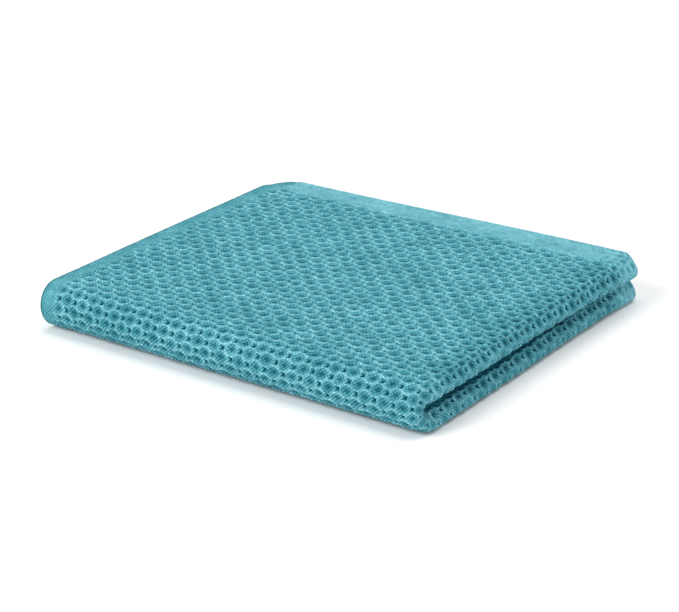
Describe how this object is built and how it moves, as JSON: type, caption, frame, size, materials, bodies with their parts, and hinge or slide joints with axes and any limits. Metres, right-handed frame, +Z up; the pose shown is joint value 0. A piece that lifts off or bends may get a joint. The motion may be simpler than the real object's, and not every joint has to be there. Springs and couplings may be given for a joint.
{
  "type": "dishcloth",
  "caption": "Waffle-weave cotton dishcloth folded into a flat rectangle, with a rounded front fold, a looped side fold and stitched hems.",
  "frame": {"origin": "under the middle of the folded cloth, on the surface that it rests on", "axes": "+Z up through the layers; +X along the front fold, from the side hems to the side fold; +Y from the front fold to the end hems"},
  "size_m": [0.154, 0.142, 0.0168],
  "materials": {
    "cotton": "matte, soft aqua waffle cotton"
  },
  "bodies": {
    "root": {"cloth": "cotton"}
  },
  "joints": []
}
